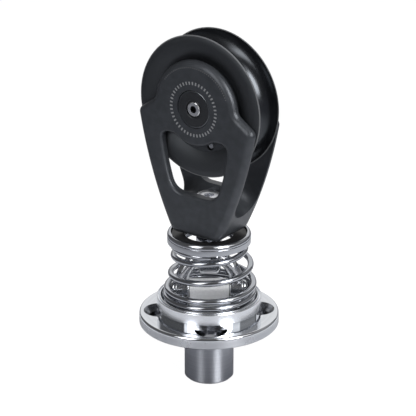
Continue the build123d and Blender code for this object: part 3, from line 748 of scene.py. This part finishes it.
def wire_value(turns, column):
    """A smooth curve through one column of the winding table."""
    last = len(WINDING) - 2
    i = min(max(sum(row[0] <= turns for row in WINDING) - 1, 0), last)
    rows = [WINDING[max(i - 1, 0)], WINDING[i], WINDING[i + 1], WINDING[min(i + 2, last + 1)]]
    (x0, y0), (x1, y1), (x2, y2), (x3, y3) = [(row[0], row[column]) for row in rows]
    span = x2 - x1
    start = (y2 - y0) / (x2 - x0) * span
    end = (y3 - y1) / (x3 - x1) * span
    t = min(max((turns - x1) / span, 0), 1)
    return (
        (2 * t**3 - 3 * t**2 + 1) * y1 + (t**3 - 2 * t**2 + t) * start
        + (3 * t**2 - 2 * t**3) * y2 + (t**3 - t**2) * end
    )


def wire_point(turns):
    """The middle of the wire after so many turns from its lower end."""
    z, r, sag = (wire_value(turns, column) * MM for column in (1, 2, 3))
    a = 2 * math.pi * turns + BASE_TURN - math.pi / 2
    return Vector((r * math.cos(a) + sag * right.x, r * math.sin(a) + sag * right.y, z))


ends = [round(wire_point(turns).z / MM, 1) for turns in (0, ALL_TURNS)]
print("wire:", ALL_TURNS, "turns, from", ends[0], "to", ends[1], "mm")

# %% Wire


def wire_length(name, first, last):
    """The wire between two counts of turns, as a closed mesh."""
    count = round((last - first) * STEPS_PER_TURN)
    bpy.ops.curve.primitive_nurbs_path_add()
    curve = bpy.context.object
    curve.name = name
    curve.data.splines.clear()
    line = curve.data.splines.new("POLY")
    line.points.add(count)
    for i in range(count + 1):
        line.points[i].co = (*wire_point(first + (last - first) * i / count), 1)
    line.use_smooth = True
    curve.data.bevel_depth = WIRE
    curve.data.bevel_resolution = 7
    curve.data.use_fill_caps = True
    bpy.ops.object.convert(target="MESH")
    piece = bpy.context.object
    bpy.ops.object.transform_apply()
    bpy.ops.object.mode_set(mode="EDIT")
    bpy.ops.mesh.select_all(action="SELECT")
    bpy.ops.mesh.remove_doubles(threshold=1e-6)
    bpy.ops.mesh.normals_make_consistent(inside=False)
    bpy.ops.object.mode_set(mode="OBJECT")
    bpy.ops.object.shade_smooth_by_angle(angle=math.radians(40))
    piece.data.materials.clear()
    piece.data.materials.append(spring_steel)
    piece.select_set(False)
    print(name, len(piece.data.polygons), "faces")
    return piece


# %% Two lengths of spring
spring_low = wire_length("spring_low", 0, SPLIT_TURN)
spring_high = wire_length("spring_high", SPLIT_TURN, ALL_TURNS)
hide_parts("spring")
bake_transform(spring_low)
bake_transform(spring_high)

# %% [markdown]
# ## Spring cups
# Both cups are turned on a lathe, so each is one outline spun about the mast axis. The upper cup
# has a round lip over a fine groove. The lower one has a round inner lip, a groove and a wall.
# A cylinder with bevelled loops would do, but a lathe cut is easiest to read as an outline. It is
# drawn as by hand: one vertex is extruded from corner to corner, and the closed loop is spun.

# %% Outline


def quarter(centre, size, first, last, steps=9):
    """Points of an arc in an outline, from its centre, half sizes and two angles."""
    points = []
    for i in range(steps + 1):
        a = math.radians(first + (last - first) * i / steps)
        points.append((centre[0] + size[0] * math.cos(a), centre[1] + size[1] * math.sin(a)))
    return points


def draw_outline(name, places):
    """A closed loop of edges through the places, left selected in edit mode."""
    bpy.ops.object.select_all(action="DESELECT")
    bpy.ops.mesh.primitive_plane_add(size=MM, calc_uvs=False, location=places[0])
    piece = bpy.context.object
    piece.name = piece.data.name = name
    bpy.ops.object.transform_apply()
    bpy.ops.object.mode_set(mode="EDIT")
    bpy.ops.mesh.select_mode(type="VERT")
    bpy.ops.mesh.select_all(action="SELECT")
    bpy.ops.mesh.merge(type="CENTER")
    for start, end in zip(places, places[1:] + places[:1]):
        bpy.ops.mesh.extrude_region_move(TRANSFORM_OT_translate={"value": end - start})
    bpy.ops.mesh.select_all(action="SELECT")
    bpy.ops.mesh.remove_doubles(threshold=1e-6)
    return piece


# %% Lathe


def turned_piece(name, outline, material, node, body, second=None, belongs=None, axle_side=0):
    """A piece spun from its outline, given as radius and height in mm, in place of a node.

    It stands on the mast axis, or lies on the axle with its outer side at axle_side.
    """
    if axle_side:
        places = [Vector((r * MM, h * axle_side * MM, AXLE_CENTRE[2])) for r, h in outline]
        centre, axis = AXLE_CENTRE, (0, 1, 0)
    else:
        places = [Vector((r * MM, 0, z * MM)) for r, z in outline]
        centre, axis = (0, 0, 0), (0, 0, 1)
    piece = draw_outline(name, places)
    bpy.ops.mesh.spin(steps=144, angle=2 * math.pi, center=centre, axis=axis)
    bpy.ops.mesh.select_all(action="SELECT")
    bpy.ops.mesh.remove_doubles(threshold=1e-6)
    bpy.ops.mesh.normals_make_consistent(inside=False)
    bpy.ops.object.mode_set(mode="OBJECT")
    bpy.ops.object.shade_smooth_by_angle(angle=math.radians(32))
    bpy.ops.object.modifier_add(type="WEIGHTED_NORMAL")
    piece.modifiers[-1].keep_sharp = True
    bpy.ops.object.modifier_apply(modifier=piece.modifiers[-1].name)
    piece.data.materials.append(material)
    if second:
        piece.data.materials.append(second)
        for face in piece.data.polygons:
            place = face.center - Vector(centre)
            along = place.y if axle_side else face.center.z
            out = math.hypot(place.x, place.z if axle_side else place.y)
            face.material_index = int(belongs(out / MM, abs(along) / MM))
    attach(piece, body)
    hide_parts(node)
    piece.select_set(False)
    print(name, len(piece.data.polygons), "faces")
    return piece


# %% Spring cups
cup_outline = [
    (10.6, 35.45), (13.0, 35.45), (13.3, 35.75), (13.3, 36.35),
    *quarter((17.3, 36.65), (0.3, 0.3), -90, 0, 5),
    (17.6, 38.75), (17.5, 38.92), (17.3, 38.98), (17.3, 39.12),
    *quarter((16.38, 39.5), (1.22, 1.55), -8, 104, 14),
    (16.0, 40.8), (16.0, 37.55), (10.6, 37.55),
]
NECK_TOP = 7.05
collar_outline = [
    (14.0, FLANGE_TOP), (21.5, FLANGE_TOP), (21.5, 7.0), (21.75, 7.12),
    *quarter((21.75, 7.5), (0.35, 0.38), -90, 0, 5),
    *quarter((21.72, 11.7), (0.38, 0.42), 0, 110, 7),
    (21.5, 11.9), (21.48, 11.2), (21.08, 11.2),
    *quarter((20.74, 12.0), (0.34, 0.40), 0, 180, 10),
    (20.4, 6.2), (14.0, 6.2),
]
turned_piece("turned_cup", cup_outline, turned_steel, "upper_cup", "eye_body")
turned_piece(
    "turned_collar", collar_outline, collar_steel, "collar", "base", flange_steel,
    lambda radius, z: radius > 21 and z < NECK_TOP,
)

# %% [markdown]
# ## Flange
# The flange is a flat plate, polished like a mirror on top, with a round edge and a satin rim. So
# its top shows the neck of the collar upside down. Its outline is spun, then four countersunk holes
# are cut with a cone and a cylinder each. The cone goes on a little above the plate, and the
# cylinder is a hair narrower than the cone's end, so that no two faces of a cut lie on each other.
# Boolean cuts are used, because they leave the mirror top flat and each cone's edge truly round.

# %% Plate
RIM_TOP = 3.55
flange_outline = [
    (5.05, 1.0), (10.6, 1.0), (10.6, 0), (29.4, 0), (29.65, 0.25), (29.65, RIM_TOP),
    *quarter((28.7, 3.6), (0.95, 1.3), 0, 90, 8), (5.05, FLANGE_TOP),
]
turned_flange = turned_piece(
    "turned_flange", flange_outline, flange_steel, "flange", "base", rim_steel,
    lambda radius, z: radius > 29.5 and z < RIM_TOP,
)

# %% Countersunk holes
HOLE_CIRCLE, HOLE, SINK, CLEAR = 20.8 * MM, 3.3 * MM, 6.95 * MM, 1 * MM
DRILL_LENGTH, DRILL_MIDDLE = 6 * MM, 1 * MM
HOLE_ZONE = (12, 28.2)
cutters = []
for quarter_turn in range(4):
    a = BASE_TURN + quarter_turn * math.pi / 2
    spot = Vector((HOLE_CIRCLE * math.cos(a), HOLE_CIRCLE * math.sin(a), 0))
    low, high = FLANGE_TOP * MM - (SINK - HOLE), FLANGE_TOP * MM + CLEAR
    bpy.ops.mesh.primitive_cone_add(
        vertices=64, radius1=HOLE, radius2=SINK + CLEAR, depth=high - low,
        location=spot + Vector((0, 0, (low + high) / 2)),
    )
    cutters.append(bpy.context.object)
    bpy.ops.mesh.primitive_cylinder_add(
        vertices=64, radius=HOLE * 0.999, depth=DRILL_LENGTH,
        location=spot + Vector((0, 0, DRILL_MIDDLE)),
    )
    cutters.append(bpy.context.object)
bpy.ops.object.select_all(action="DESELECT")
bpy.context.view_layer.objects.active = turned_flange
turned_flange.select_set(True)
for cutter in cutters:
    bpy.ops.object.modifier_add(type="BOOLEAN")
    cut = turned_flange.modifiers[-1]
    cut.operation = "DIFFERENCE"
    cut.solver = "EXACT"
    cut.object = cutter
    bpy.ops.object.modifier_apply(modifier=cut.name)
turned_flange.select_set(False)
for cutter in cutters:
    bpy.data.objects.remove(cutter)
# The faces inside the holes take the painted shade, and the rim takes its satin steel.
turned_flange.data.materials.append(hole_shade_steel)
for face in turned_flange.data.polygons:
    out, z = math.hypot(*face.center[:2]) / MM, face.center.z / MM
    in_hole = HOLE_ZONE[0] < out < HOLE_ZONE[1] and 0.01 < z < FLANGE_TOP - 0.05
    face.material_index = 2 if in_hole else int(out > 29.5 and z < 3.5)
print("flange:", len(turned_flange.data.polygons), "faces")

# %% [markdown]
# ## Axle caps
# Each end of the axle is closed by a black cap sunk in the cheek. Its rounded edge catches the
# light as a thin bright arc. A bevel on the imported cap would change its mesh, which stays as it
# is, so the caps are turned again with a larger and glossier edge.

# %% Axle caps
cap_gloss = anodised(
    "cap_gloss", (0.018, 0.0185, 0.020), (0.025, 0.026, 0.028), 0.22, 0.26, 3500.0, 0.0005,
    turned=True, metallic=0.0, ior=2.4,
)
CAP_EDGE = 7.44
cap_outline = [
    (8.0, 9.6), (8.0, 10.25), *quarter((7.45, 10.25), (0.55, 0.55), 0, 90, 8),
    (4.0, 10.8), (3.8, 10.65), (3.8, 10.12), (2.4, 10.12), (2.4, 9.6),
]
for end, axle_side in (("near", -1), ("far", 1)):
    turned_piece(
        f"turned_cap_{end}", cap_outline, cap_black, f"axle_cap_{end}", "frame_body", cap_gloss,
        lambda radius, _: radius > CAP_EDGE, axle_side,
    )
